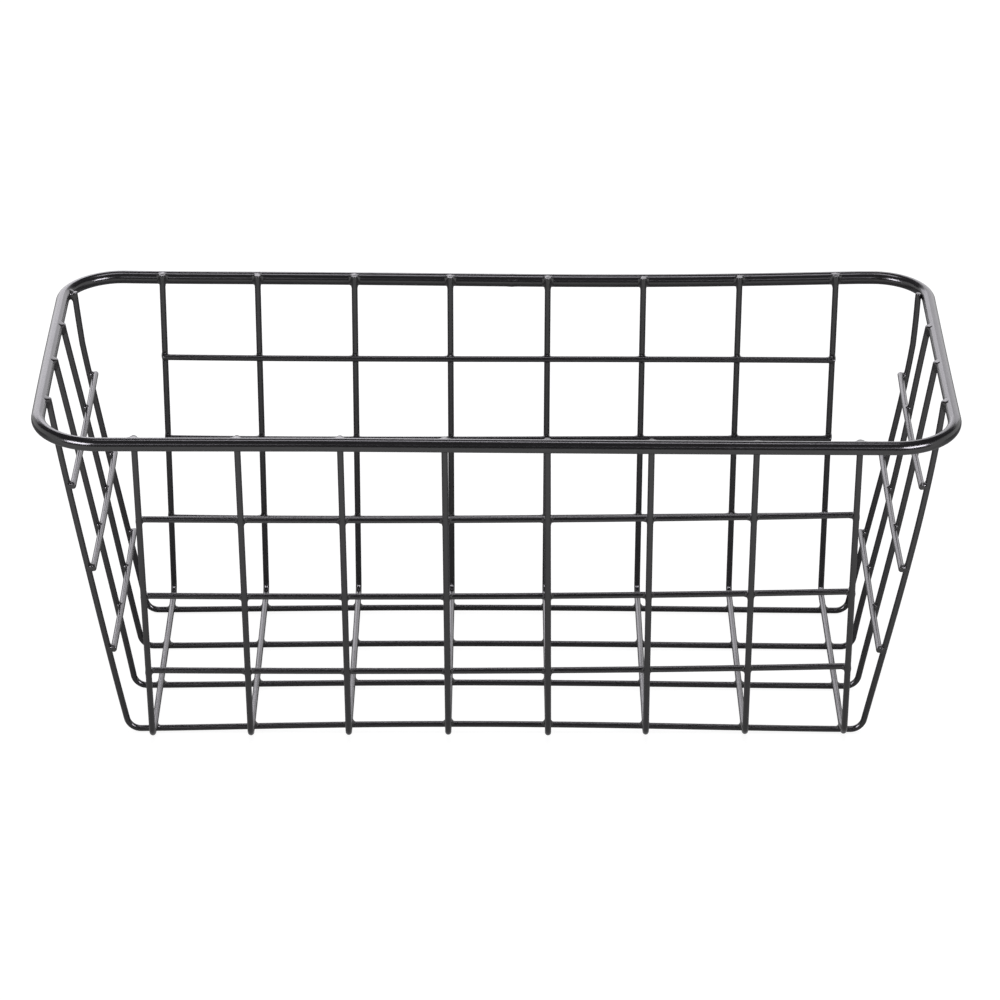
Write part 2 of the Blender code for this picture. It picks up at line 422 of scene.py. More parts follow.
def add_wire(node, path, facing):
    """A coated wire along a path, in place of its CAD node."""
    wires = bpy.context.scene.basket_wires
    radius = wires.diameter / 2.0
    centres, radii = wire_rings(path, radius, wires.cut_round)
    inner = path_directions(path, closed=False)
    directions = np.concatenate((
        np.repeat(inner[:1], CUT_RINGS + 1, axis=0),
        inner[1:-1],
        np.repeat(inner[-1:], CUT_RINGS + 1, axis=0),
    ))
    grid = carried_circle(centres, directions, facing, radii[:, None], WIRE_SIDES)
    points, faces = closed_ends(grid, path[0], path[-1])
    from_ends = [np.linalg.norm(points - end, axis=1) for end in (path[0], path[-1])]
    thin = np.clip(1.0 - (np.minimum(*from_ends) - radius * THIN_REACH) / (radius * THIN_FADE), 0.0, 1.0)
    add_piece(f"coated_{node}", points, faces, thin, powder_coat("Wire coat"), (node,))


# Where the wires run

# How far each front-to-back wire is set to the right: at its back end, back foot, front foot and front end
FRONT_TO_BACK_SWAYS = np.array((
    (0.65, 0.65, 0.85, 0.75),
    (0.35, 0.5, 0.7, 0.45),
    (0.75, 0.4, 0.4, 0.15),
    (0.65, 0.6, 0.75, 0.4),
    (1.3, 0.9, 1.2, 0.1),
    (1.15, 0.52, 0.8, 0.2),
    (1.2, 0.15, 1.05, 0.8),
    (1.3, -0.1, 1.1, 0.55),
)) * MM
# How far each front-to-back wire is set up at its front foot and its front end
FRONT_RISES = np.array((
    (1.5, 0.65), (0.75, 0.7), (0.3, 0.72), (0.15, 0.6), (0.0, 0.4), (1.0, 0.25), (2.1, -0.15), (3.05, 0.35),
)) * MM
# How far each side-to-side wire is set out at five even heights, from its foot to its end
LEFT_SETS = np.array((
    (-0.2, 0.2, 0.75, 0.95, 0.3),
    (-0.6, -0.2, -0.1, 0.4, 1.05),
    (-0.2, -0.35, -0.05, 0.35, 0.85),
    (-0.55, 0.3, 0.6, 0.65, 0.1),
)) * MM
RIGHT_SETS = np.array((
    (0.1, 0.75, 1.9, 2.1, 0.1),
    (0.1, 0.4, 1.25, 1.0, 0.3),
    (-0.4, 0.3, 1.05, 1.05, 0.45),
    (-0.9, 0.6, 1.9, 2.15, 0.5),
)) * MM
# Over these heights the floor's rise fades out above it, and the rim's below it
FOOT_FADE = 30.0 * MM
TOP_FADE = 40.0 * MM
# Powers with which the pull on the rim grows toward its front, and a leg's sets grow toward an end wall
PULL_POWER = 3
SETS_POWER = 4


def set_curve(sets):
    """Terms of the curve of the fourth degree that runs through five evenly spaced values."""
    return np.polyfit(np.linspace(0.0, 1.0, len(sets)), sets, len(sets) - 1)


def bowed(terms, share):
    """Offset a + b u + c u² and on at the share u of a half length."""
    return np.polynomial.polynomial.polyval(share, np.array(terms))


class Basket:
    """Centre lines of the rim and the wires, worked out from the sizes and the bows."""

    def __init__(self):
        scene = bpy.context.scene
        self.rim = scene.basket_rim
        self.wires = scene.basket_wires
        self.bows = scene.basket_bows
        self.wire_radius = self.wires.diameter / 2.0
        self.rim_radius = self.rim.bar_diameter / 2.0
        self.crossing = self.wires.diameter - self.wires.weld_depth
        self.low_run = self.wire_radius
        self.high_run = self.low_run + self.crossing
        self.across_places = [middle(f"side_to_side_wire_{n}", 1) for n in range(1, SIDE_TO_SIDE_COUNT + 1)]
        self.along_places = [middle(f"front_to_back_wire_{n}", 0) for n in range(1, FRONT_TO_BACK_COUNT + 1)]
        self.front = self.wall(self.rim.width / 2.0, self.wires.front_lean, self.high_run)
        self.back = self.wall(self.rim.width / 2.0, self.wires.back_lean, self.high_run)
        self.end = self.wall(self.rim.length / 2.0, self.wires.end_lean, self.low_run)

    def wall(self, rim_out, lean, foot_height):
        """A wall's profile: how far out its wires stand at the rim and the foot, and the foot's height."""
        slant = math.atan2(lean, self.rim.height - foot_height)
        seat = (self.rim_radius + self.wire_radius - self.wires.rim_depth) / math.cos(slant)
        return rim_out - seat, rim_out - seat - lean, foot_height

    def out_at(self, wall, height):
        """How far out a wall's wires stand at a height: the straight line from its foot to its top."""
        top_out, foot_out, foot_height = wall
        return foot_out + (top_out - foot_out) * (height - foot_height) / (self.rim.height - foot_height)

    def rail_out(self, wall, height):
        """How far out a rail stands at a height, welded to the inner side of the wall's wires."""
        slant = math.atan2(wall[0] - wall[1], self.rim.height - wall[2])
        return self.out_at(wall, height) - self.crossing / math.cos(slant)

    def end_leg(self, place, top):
        """Corners of an end wall's wire as (out, height), from its sheared end down to its foot.

        In the rim's corners the end stands further in, so the wire has a slight crook below it.
        """
        foot = (self.end[1], self.low_run)
        into_corner = abs(place) - (self.rim.width / 2.0 - self.rim.corner_radius)
        if into_corner <= 0.0:
            return [(self.out_at(self.end, top), top), foot]
        seat = self.rim.length / 2.0 - self.end[0]
        reach = math.sqrt((self.rim.corner_radius - seat) ** 2 - into_corner ** 2)
        rim_out = self.rim.length / 2.0 - self.rim.corner_radius + reach
        crook_height = self.rim.height - self.wires.crook_drop
        crook_out = self.out_at(self.end, crook_height)
        end_out = rim_out + (rim_out - crook_out) * (top - self.rim.height) / self.wires.crook_drop
        return [(end_out, top), (crook_out, crook_height), foot]

    def rim_pull(self, x, y):
        """How far the rim is set to the right: its corners' pull times (x / half length)².

        The pull is blended from the back to the front by (share across)³.
        """
        back_left, front_left, back_right, front_right = self.bows.rim_pull
        toward_front = np.clip(0.5 - y / self.rim.width, 0.0, 1.0) ** PULL_POWER
        left = back_left + (front_left - back_left) * toward_front
        right = back_right + (front_right - back_right) * toward_front
        return np.where(x < 0.0, left, -right) * (2.0 * x / self.rim.length) ** 2

    def rim_rise(self, x, y):
        """How far the rim is set up: its front and back runs' bows, never above true, blended across."""
        along = x / (self.rim.length / 2.0 - self.rim.corner_radius)
        share = np.clip(y / self.rim.width + 0.5, 0.0, 1.0)
        front = np.minimum(bowed(self.bows.rim_front, along), 0.0)
        back = np.minimum(bowed(self.bows.rim_back, along), 0.0)
        return front * (1.0 - share) + back * share

    def floor_rise(self, x, y):
        """How far the floor is set up: height (1 - u²)^fall (1 - lean u) at the share u along it.

        The height changes from the back over the middle to the front.
        """
        along = np.clip(x / self.end[1], -1.0, 1.0)
        back, mid, front = self.bows.floor_arch
        height = np.interp(-y, (-self.across_places[0], 0.0, -self.across_places[-1]), (back, mid, front))
        return height * (1.0 - along ** 2) ** self.bows.floor_fall * (1.0 - self.bows.floor_lean * along)

    def near_top(self, z):
        """How near to the rim a height is, from 0 well below it to 1, squared."""
        return np.clip(1.0 - (self.rim.height - z) / TOP_FADE, 0.0, 1.0) ** 2

    def set_wire(self, path):
        """Move a U wire's centre line with the floor at its foot and with the rim at its ends."""
        x, y, z = path.T
        near_foot = np.clip(1.0 - z / FOOT_FADE, 0.0, 1.0) ** 2
        rise = self.floor_rise(x, y) * near_foot + self.rim_rise(x, y) * self.near_top(z)
        return path + rise[:, None] * Z_AXIS

    def rim_path(self):
        """Rounded rectangle of the rim's centre line, from the back right corner on."""
        out, back, height = self.rim.length / 2.0, self.rim.width / 2.0, self.rim.height
        corners = np.array((
            (out, back, height), (-out, back, height), (-out, -back, height), (out, -back, height)))
        radii = np.full(len(corners), self.rim.corner_radius)
        radii[:2] -= self.rim.tight_corners
        path = closed_path(corners, radii)
        x, y, _ = path.T
        inward = self.bows.rim_front_in * np.clip(-2.0 * y / self.rim.width, 0.0, 1.0) ** 2
        return path + np.stack((self.rim_pull(x, y), inward, self.rim_rise(x, y)), axis=-1)

    def front_to_back_path(self, number):
        """Centre line of a front-to-back wire: down the back wall, along the floor and up the front wall."""
        place = self.along_places[number - 1]
        back_top = self.rim.height + self.wires.back_end_rise
        front_top = self.rim.height + self.wires.other_end_rise
        corners = np.array((
            (place, self.out_at(self.back, back_top), back_top),
            (place, self.back[1], self.high_run),
            (place, -self.front[1], self.high_run),
            (place, -self.out_at(self.front, front_top), front_top),
        ))
        path = open_path(corners, self.wires.bend_radius)
        walked = np.concatenate(((0.0,), np.cumsum(np.linalg.norm(np.diff(path, axis=0), axis=1))))
        lengths = np.linalg.norm(np.diff(corners, axis=0), axis=1)
        marks = np.cumsum((0.0, *lengths)) / lengths.sum()
        share = walked / walked[-1]
        sway = np.interp(share, marks, FRONT_TO_BACK_SWAYS[number - 1])
        last_crossing = marks[2] - (self.front[1] + self.across_places[-1]) / lengths.sum()
        rise = np.interp(share, (last_crossing, marks[2], marks[3]), (0.0, *FRONT_RISES[number - 1]))
        press = self.wires.rim_press * self.near_top(path[:, 2]) * (path[:, 1] > 0.0)
        return self.set_wire(path) + np.stack((sway, press, rise), axis=-1)

    def leg_place(self, number, outward, height):
        """How far along the basket a front-to-back wire stands at a height on its front or its back wall."""
        path = self.front_to_back_path(number)
        leg = path[path[:, 1] * outward > 0.0]
        leg = leg[np.argsort(leg[:, 2])]
        return float(np.interp(height, leg[:, 2], leg[:, 0]))

    def side_to_side_path(self, number):
        """Centre line of a side-to-side wire: down the left end wall, along the floor, up the right one."""
        place = self.across_places[number - 1]
        leg = self.end_leg(place, self.rim.height + self.wires.other_end_rise)
        left = [(-out, place, height) for out, height in leg]
        right = [(out, place, height) for out, height in reversed(leg)]
        path = open_path(np.array(left + right), self.wires.end_bend_radius)
        x, _, z = path.T
        share = np.clip(z / self.rim.height, 0.0, 1.0)
        left_out = np.polyval(set_curve(LEFT_SETS[number - 1]), share)
        right_out = np.polyval(set_curve(RIGHT_SETS[number - 1]), share)
        near_end = np.clip(np.abs(x) / self.end[1], 0.0, 1.0) ** SETS_POWER
        return self.set_wire(path) + (np.where(x < 0.0, -left_out, right_out) * near_end)[:, None] * X_AXIS

    def long_rail_path(self, label, number):
        """Centre line of a rail along the front or the back wall, bowed up and down along that wall."""
        node = f"{label}_rail_{number}"
        wall, outward = (self.front, -1.0) if label == "front" else (self.back, 1.0)
        height = middle(node, 2)
        past = self.wire_radius - self.wires.rail_shortness
        left = self.leg_place(1, outward, height) - past
        right = self.leg_place(FRONT_TO_BACK_COUNT, outward, height) + past
        path = open_path(np.array(((left, 0.0, height), (right, 0.0, height))), self.wires.bend_radius)
        share = path[:, 0] / right
        if label == "front":
            rise = bowed(self.bows.front_rails, share)
        else:
            low_share = (number - 1) / (RAIL_COUNT - 1)
            top_bow = bowed(self.bows.back_top_rail, share)
            rise = top_bow + (bowed(self.bows.back_low_rail, share) - top_bow) * low_share
        path[:, 2] += rise
        path[:, 1] = outward * self.rail_out(wall, path[:, 2])
        return path

    def end_rail_path(self, label, number):
        """Centre line of a rail across an end wall, bowed half as much as the wall's legs are."""
        node = f"{label}_rail_{number}"
        outward, wall_sets = (-1.0, LEFT_SETS) if label == "left" else (1.0, RIGHT_SETS)
        low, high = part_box(node)
        height = middle(node, 2)
        out = self.rail_out(self.end, height)
        path = open_path(np.array(((0.0, high[1], height), (0.0, low[1], height))), self.wires.bend_radius)
        leg_sets = [np.polyval(set_curve(sets), height / self.rim.height) for sets in wall_sets]
        bow = np.interp(-path[:, 1], [-place for place in self.across_places], leg_sets)
        path[:, 0] = outward * (out + (bow + np.mean(leg_sets)) / 2.0)
        return path

    def paths(self, kind):
        """Centre lines of all the wires of a kind, in the order of their numbers."""
        count, path = {
            "front_to_back_wire": (FRONT_TO_BACK_COUNT, self.front_to_back_path),
            "side_to_side_wire": (SIDE_TO_SIDE_COUNT, self.side_to_side_path),
            "front_rail": (RAIL_COUNT, partial(self.long_rail_path, "front")),
            "back_rail": (RAIL_COUNT, partial(self.long_rail_path, "back")),
            "left_rail": (RAIL_COUNT, partial(self.end_rail_path, "left")),
            "right_rail": (RAIL_COUNT, partial(self.end_rail_path, "right")),
        }[kind]
        return [path(number) for number in range(1, count + 1)]


# Welds

# Columns of one bar in the row on a crossing, which holds the lower bar's and then the upper bar's
PLACE = slice(0, 3)
DIRECTION = slice(3, 6)
RADIUS, CUT_BEFORE, CUT_AFTER = 6, 7, 8
BAR_COLUMNS = 9
# A bar's sheared end shapes a weld up to so many reaches of a rim weld away
NEAR_END = 1.5
# A weld's width swells once and three times round it, in these shares of its unevenness
SWELL_SHARE = 0.6
LUMP_SHARE = 0.4
LUMPS = 3.0
# The coat is thinnest, and lightest as a painted highlight in part, where a weld stands this share of its
# fillet proud of both bars
CREST_SHARE = 0.15


def nearest_on_lines(start, direction, other_start, other_direction):
    """Points where two straight lines pass each other most closely."""
    between = other_start - start
    slant = direction @ other_direction
    lean = 1.0 - slant ** 2
    along = (between @ direction - slant * (between @ other_direction)) / lean
    other_along = (slant * (between @ direction) - between @ other_direction) / lean
    return start + along * direction, other_start + other_along * other_direction


def cut_distances(point, direction, path):
    """How far along a bar its sheared ends lie from a point, before and after it."""
    before = (point - path[0]) @ direction
    after = (path[-1] - point) @ direction
    near = bpy.context.scene.basket_welds.rim_reach * NEAR_END
    before = before if np.linalg.norm(point - path[0]) < near else near
    after = after if np.linalg.norm(point - path[-1]) < near else near
    return before, after


def crossing_of(lower, upper, lower_radius, upper_radius):
    """Row on where two bars are welded: each one's place, direction, radius and cuts, the lower first."""
    apart = np.linalg.norm(lower[:, None, :] - upper[None, :, :], axis=2)
    low_index, high_index = np.unravel_index(np.argmin(apart), apart.shape)
    row = []
    directions = []
    for path, index in ((lower, low_index), (upper, high_index)):
        # The direction is that of three points in a row, with the nearest one in the middle if it can be
        first = min(max(index - 1, 0), len(path) - 3)
        directions.append(unit(path[first + 2] - path[first]))
    places = nearest_on_lines(lower[low_index], directions[0], upper[high_index], directions[1])
    radii = (lower_radius, upper_radius)
    for place, direction, radius, path in zip(places, directions, radii, (lower, upper)):
        row.extend((*place, *direction, radius, *cut_distances(place, direction, path)))
    return row


def distance_to_bars(points, bars):
    """Distance from points to the skin of a round bar with flat ends, one bar for each row of points."""
    place, direction = bars[:, PLACE], bars[:, DIRECTION]
    radius, before, after = bars[:, RADIUS], bars[:, CUT_BEFORE], bars[:, CUT_AFTER]
    each = (slice(None), None, None)
    offset = points - place[:, None, None, :]
    along = np.einsum("nijk,nk->nij", offset, direction)
    aside = np.linalg.norm(offset - along[..., None] * direction[:, None, None, :], axis=-1)
    past_side = aside - radius[each]
    past_end = np.maximum(along - after[each], -along - before[each])
    outside = np.hypot(np.maximum(past_side, 0.0), np.maximum(past_end, 0.0))
    return outside + np.minimum(np.maximum(past_side, past_end), 0.0)


def weld_skin(points, lower, upper, fillet, sink):
    """How far points are outside a weld: the smooth minimum of the distances p and q to the two bars.

    It is min(p, q) - (k - |p - q|)² / 4k for the fillet k, where |p - q| is less than k, plus the sink.
    """
    to_lower = distance_to_bars(points, lower)
    to_upper = distance_to_bars(points, upper)
    blend = np.maximum(fillet - np.abs(to_lower - to_upper), 0.0)
    nearer = np.minimum(to_lower, to_upper)
    return nearer - blend ** 2 / (4.0 * fillet) + sink, nearer


def fillet_welds(crossings, fillet, reach, seed):
    """Points, faces and thinness of a group of welds, whose thinness also lightens their crests as a painted
    highlight.

    In every direction from the middle of a crossing, the skin lies where the smooth minimum of the distances
    to both bars is nothing. Halving the range between the middle and the ball round the crossing finds it.
    """
    sizes = bpy.context.scene.basket_welds
    rows = np.array(crossings)
    lower, upper = rows[:, :BAR_COLUMNS], rows[:, BAR_COLUMNS:]
    count = len(rows)
    normal = unit(upper[:, PLACE] - lower[:, PLACE])
    run = lower[:, DIRECTION]
    along = unit(run - normal * np.sum(run * normal, axis=1, keepdims=True))
    across = np.cross(normal, along)
    lower_skin = lower[:, PLACE] + normal * lower[:, RADIUS, None]
    upper_skin = upper[:, PLACE] - normal * upper[:, RADIUS, None]
    centre = (lower_skin + upper_skin) / 2.0
    chance = np.random.default_rng(seed)
    size = 1.0 + sizes.unevenness * chance.uniform(-1.0, 1.0, (count, 1, 1))
    phases = chance.uniform(0.0, 2.0 * math.pi, (2, count, 1, 1))
    around = np.linspace(0.0, 2.0 * math.pi, WELD_SIDES, endpoint=False)[None, None, :]
    steep = np.linspace(-STEEPEST_RING, STEEPEST_RING, WELD_RINGS)[None, :, None]
    swell = SWELL_SHARE * np.sin(around + phases[0]) + LUMP_SHARE * np.sin(LUMPS * around + phases[1])
    wave = 1.0 + sizes.unevenness * swell
    along, across, upright = (axis[:, None, None, :] for axis in (along, across, normal))
    sideways = np.cos(around)[..., None] * along + np.sin(around)[..., None] * across
    rays = np.cos(steep)[..., None] * sideways + np.sin(steep)[..., None] * upright
    poles = np.stack((-normal, normal), axis=1)[:, :, None, :] * np.ones((1, 1, WELD_SIDES, 1))
    rays = np.concatenate((poles[:, :1], rays, poles[:, 1:]), axis=1)
    widths = np.broadcast_to(fillet * size * wave, rays.shape[:3]).copy()
    widths[:, (0, -1)] = fillet
    near = np.zeros(rays.shape[:3])
    far = np.full(rays.shape[:3], reach)
    for _ in range(WELD_HALVINGS):
        middle_way = (near + far) / 2.0
        outside, _ = weld_skin(
            centre[:, None, None, :] + rays * middle_way[..., None], lower, upper, widths, sizes.sink)
        far = np.where(outside > 0.0, middle_way, far)
        near = np.where(outside > 0.0, near, middle_way)
    points = centre[:, None, None, :] + rays * near[..., None]
    _, proud = weld_skin(points, lower, upper, widths, sizes.sink)
    # Weld crests get the thin coat's lighter colour, which is partly a painted highlight
    crest_thin_and_highlight = np.clip(proud / (CREST_SHARE * fillet), 0.0, 1.0)
    all_points, all_faces, all_thin = [], [], []
    for weld, thin in zip(points, crest_thin_and_highlight):
        weld_points, weld_faces = closed_ends(weld[1:-1], weld[0, 0], weld[-1, 0])
        start = len(all_points) * len(weld_points)
        all_points.append(weld_points)
        all_faces.extend([corner + start for corner in face] for face in weld_faces)
        all_thin.append(np.concatenate((thin[1:-1].ravel(), thin[0, :1], thin[-1, :1])))
    return np.concatenate(all_points), all_faces, np.concatenate(all_thin)


# Coat

COATS = {
    "Rim coat": {"Ripples per metre": 420.0, "Grain share": 0.01, "Dust": 0.01},
    "Wire coat": {"Ripples per metre": 600.0, "Grain share": 0.01, "Dust": 0.01},
    "Weld coat": {"Ripples per metre": 1200.0, "Grain share": 0.03, "Dust": 0.01},
}
COAT_IOR = 1.55
THIN_SMOOTHNESS = 0.05


def feed(tree, node, values):
    """Give each named socket of a node its plain value, or its link from another node's socket."""
    for socket, value in values.items():
        if isinstance(value, bpy.types.NodeSocket):
            tree.links.new(value, node.inputs[socket])
        else:
            node.inputs[socket].default_value = value


def add_node(tree, kind, values=None, **settings):
    """A node with its settings and what feeds it."""
    node = tree.nodes.new(kind)
    for setting, value in settings.items():
        setattr(node, setting, value)
    feed(tree, node, values or {})
    return node


def worked_out(tree, operation, *terms):
    """What a Math node makes of its terms."""
    return add_node(tree, "ShaderNodeMath", dict(enumerate(terms)), operation=operation).outputs["Value"]


def noise(tree, place, scale, detail, roughness=0.5):
    """Noise on a surface, with its scale in patches per metre."""
    values = {"Vector": place, "Scale": scale, "Detail": detail, "Roughness": roughness}
    return add_node(tree, "ShaderNodeTexNoise", values).outputs["Fac"]


def brought(tree, value, start, end, low=0.0, high=1.0, curve="LINEAR"):
    """A value brought from the range start to end into the range low to high, and held inside it."""
    values = {"Value": value, "From Min": start, "From Max": end, "To Min": low, "To Max": high}
    return add_node(tree, "ShaderNodeMapRange", values, interpolation_type=curve).outputs["Result"]


def mixed(tree, factor, first, second, kind="RGBA"):
    """Between a first and a second colour or number, by a factor."""
    values = {"Factor": factor, "A": first, "B": second}
    return add_node(tree, "ShaderNodeMix", values, data_type=kind).outputs["Result"]


def new_group(name, inputs, output, output_type):
    """A shader node group with named sockets, the sockets of its inputs and its Object coordinates."""
    group = bpy.data.node_groups.new(name, "ShaderNodeTree")
    for label, value in inputs.items():
        kind = "NodeSocketFloat" if isinstance(value, float) else "NodeSocketColor"
        group.interface.new_socket(label, in_out="INPUT", socket_type=kind).default_value = value
    group.interface.new_socket(output, in_out="OUTPUT", socket_type=output_type)
    place = add_node(group, "ShaderNodeTexCoord").outputs["Object"]
    return group, add_node(group, "NodeGroupInput").outputs, place


def orange_peel_group():
    """Height of the coat's surface: broad ripples where the powder flowed out, and a share of fine grain."""
    group, inside, place = new_group(
        "Orange peel", {"Ripples per metre": 700.0, "Grain share": 0.15}, "Height", "NodeSocketFloat")
    ripples = noise(group, place, inside["Ripples per metre"], detail=2.0, roughness=0.45)
    grain = noise(group, place, scale=5200.0, detail=1.0)
    height = worked_out(group, "MULTIPLY_ADD", grain, inside["Grain share"], ripples)
    add_node(group, "NodeGroupOutput", {"Height": height})
    return group


def coat_tone_group():
    """Colour of the coat: slow mottling, a thinner coat on edges whose lighter colour is partly a painted
    highlight, and faint dust on what faces up.
    """
    inputs = {
        "Coat colour": (0.02, 0.02, 0.02, 1.0),
        "Thin coat highlight colour": (0.05, 0.05, 0.05, 1.0),
        "Dust colour": (0.2, 0.2, 0.2, 1.0),
        "Thin": 0.0,
        "Dust": 0.06,
        "Mottle": 0.25,
    }
    group, inside, place = new_group("Coat tone", inputs, "Color", "NodeSocketColor")
    slow = noise(group, place, scale=90.0, detail=3.0, roughness=0.6)
    brightness = brought(group, slow, start=0.3, end=0.7, low=-0.5, high=0.5)
    mottle = worked_out(group, "MULTIPLY_ADD", brightness, inside["Mottle"], 1.0)
    scaled = {"Vector": inside["Coat colour"], "Scale": mottle}
    mottled = add_node(group, "ShaderNodeVectorMath", scaled, operation="SCALE").outputs["Vector"]
    # The thin coat's lighter colour, partly a painted highlight, mixed in over sheared ends and weld crests
    patches = noise(group, place, scale=1400.0, detail=2.0)
    thin_share_and_highlight = worked_out(group, "MULTIPLY", patches, inside["Thin"])
    thin_and_highlit = mixed(group, thin_share_and_highlight, mottled, inside["Thin coat highlight colour"])
    surface = add_node(group, "ShaderNodeNewGeometry")
    facing = add_node(group, "ShaderNodeSeparateXYZ", {"Vector": surface.outputs["Normal"]})
    on_top = brought(group, facing.outputs["Z"], start=0.45, end=0.95)
    specks = noise(group, place, scale=420.0, detail=4.0, roughness=0.7)
    settled = worked_out(group, "MULTIPLY", on_top, specks)
    dust = worked_out(group, "MULTIPLY", settled, inside["Dust"])
    add_node(group, "NodeGroupOutput", {"Color": mixed(group, dust, thin_and_highlit, inside["Dust colour"])})
    return group


def coat_sheen_group():
    """Roughness of the coat: a mean with slow patches, and smoother where it drew thin over an edge."""
    inputs = {"Roughness": 0.25, "Spread": 0.1, "Thin": 0.0}
    group, inside, place = new_group("Coat sheen", inputs, "Roughness", "NodeSocketFloat")
    patches = noise(group, place, scale=160.0, detail=4.0, roughness=0.6)
    centred = worked_out(group, "SUBTRACT", patches, 0.5)
    uneven = worked_out(group, "MULTIPLY_ADD", centred, inside["Spread"], inside["Roughness"])
    smoother = worked_out(group, "MULTIPLY_ADD", inside["Thin"], -THIN_SMOOTHNESS, uneven)
    add_node(group, "NodeGroupOutput", {"Roughness": smoother})
    return group


def shared_effect(tree, name, make, values):
    """What a shared node group puts out for its values. The group is made when it is first needed."""
    group = bpy.data.node_groups.get(name) or make()
    return add_node(tree, "ShaderNodeGroup", values, node_tree=group).outputs[0]


def powder_coat(name):
    """Satin black powder coat with orange peel, mottling, thin edges whose lighter colour is partly a painted
    highlight, and faint dust.
    """
    known = bpy.data.materials.get(name)
    if known:
        return known
    look = bpy.context.scene.basket_coat
    values = COATS[name]
    coat = bpy.data.materials.new(name)
    coat.use_nodes = True
    tree = coat.node_tree
    # Where the coat is thin, which also marks where its lighter colour paints a highlight
    thin = add_node(tree, "ShaderNodeAttribute", attribute_name="thin_coat_and_highlight").outputs["Fac"]
    tone = shared_effect(tree, "Coat tone", coat_tone_group, {
        "Coat colour": look.colour,
        "Thin coat highlight colour": look.thin_coat_highlight_colour,
        "Dust colour": look.dust_colour,
        "Dust": values["Dust"],
        "Thin": thin,
    })
    sheen = shared_effect(tree, "Coat sheen", coat_sheen_group, {
        "Roughness": look.roughness,
        "Spread": look.roughness_spread,
        "Thin": thin,
    })
    peel = shared_effect(tree, "Orange peel", orange_peel_group, {
        "Ripples per metre": values["Ripples per metre"],
        "Grain share": values["Grain share"],
    })
    bump = add_node(tree, "ShaderNodeBump", {"Distance": look.ripple_depth, "Height": peel})
    feed(tree, tree.nodes["Principled BSDF"], {
        "Metallic": 0.0,
        "IOR": COAT_IOR,
        "Base Color": tone,
        "Roughness": sheen,
        "Normal": bump.outputs["Normal"],
    })
    return coat


# Operators, one for each kind of piece and one for the stage

# How much of the thin coat's lighter colour the butt weld gets: partly a painted highlight on its seam
BUTT_WELD_THIN_HIGHLIGHT = 0.6


class BASKET_OT_rim(bpy.types.Operator):
    """Bend the rim bar and join its ends with a butt weld"""

    bl_idname = "basket.rim"
    bl_label = "Rim bar"

    def execute(self, context):
        basket = Basket()
        rim = basket.rim
        path = basket.rim_path()
        directions = path_directions(path, closed=True)
        angle = np.linspace(0.0, 2.0 * math.pi, RIM_SIDES, endpoint=False)[None, :]
        on_back_run = path[:, 1] > rim.width / 2.0 - MM
        from_weld = np.where(on_back_run, path[:, 0] - rim.butt_weld_place, rim.length)
        bulge = np.exp(-((from_weld / rim.butt_weld_length) ** 2))[:, None]
        facing_in = (1.0 - np.sin(angle)) / 2.0
        radii = basket.rim_radius + rim.butt_weld_swell * bulge * facing_in
        grid = carried_circle(path, directions, Z_AXIS, radii, RIM_SIDES)
        faces = grid_faces(len(path), RIM_SIDES, closed=True).tolist()
        thin = np.broadcast_to(bulge * BUTT_WELD_THIN_HIGHLIGHT, grid.shape[:2]).ravel()
        coat = powder_coat("Rim coat")
        add_piece("coated_rim", grid.reshape(-1, 3), faces, thin, coat, ("rim",))
        return {"FINISHED"}


def add_wires(kind, facing):
    """Every wire of a kind, each in place of the CAD node that has its number."""
    for number, path in enumerate(Basket().paths(kind), start=1):
        add_wire(f"{kind}_{number}", path, facing)


class BASKET_OT_front_to_back_wires(bpy.types.Operator):
    """Bend the wires of the front wall, the floor's upper layer and the back wall"""

    bl_idname = "basket.front_to_back_wires"
    bl_label = "Front-to-back wires"

    def execute(self, context):
        add_wires("front_to_back_wire", X_AXIS)
        return {"FINISHED"}


class BASKET_OT_side_to_side_wires(bpy.types.Operator):
    """Bend the wires of the end walls and the floor's lower layer"""

    bl_idname = "basket.side_to_side_wires"
    bl_label = "Side-to-side wires"

    def execute(self, context):
        add_wires("side_to_side_wire", Y_AXIS)
        return {"FINISHED"}


class BASKET_OT_long_rails(bpy.types.Operator):
    """Cut the rails of the front wall and the back wall"""

    bl_idname = "basket.long_rails"
    bl_label = "Front and back rails"

    def execute(self, context):
        add_wires("front_rail", Y_AXIS)
        add_wires("back_rail", Y_AXIS)
        return {"FINISHED"}


class BASKET_OT_end_rails(bpy.types.Operator):
    """Cut the rails of both end walls"""

    bl_idname = "basket.end_rails"
    bl_label = "End rails"

    def execute(self, context):
        add_wires("left_rail", Z_AXIS)
        add_wires("right_rail", Z_AXIS)
        return {"FINISHED"}


def add_welds(name, crossings, fillet, reach, seed):
    """One piece with all the welds of a wall."""
    points, faces, thin = fillet_welds(crossings, fillet, reach, seed)
    add_piece(name, points, faces, thin, powder_coat("Weld coat"))


class BASKET_OT_mesh_welds(bpy.types.Operator):
    """Weld the thin wires to each other at every crossing of the floor and the walls"""

    bl_idname = "basket.mesh_welds"
    bl_label = "Mesh welds"

    def execute(self, context):
        basket = Basket()
        sizes = context.scene.basket_welds
        meetings = {
            "floor_welds": ("side_to_side_wire", "front_to_back_wire"),
            "front_wall_welds": ("front_rail", "front_to_back_wire"),
            "back_wall_welds": ("back_rail", "front_to_back_wire"),
            "left_end_welds": ("left_rail", "side_to_side_wire"),
            "right_end_welds": ("right_rail", "side_to_side_wire"),
        }
        for step, (name, kinds) in enumerate(meetings.items()):
            lower_paths, upper_paths = (basket.paths(kind) for kind in kinds)
            crossings = [
                crossing_of(lower, upper, basket.wire_radius, basket.wire_radius)
                for lower in lower_paths
                for upper in upper_paths
            ]
            add_welds(name, crossings, sizes.fillet, sizes.reach, sizes.seed + step)
        return {"FINISHED"}


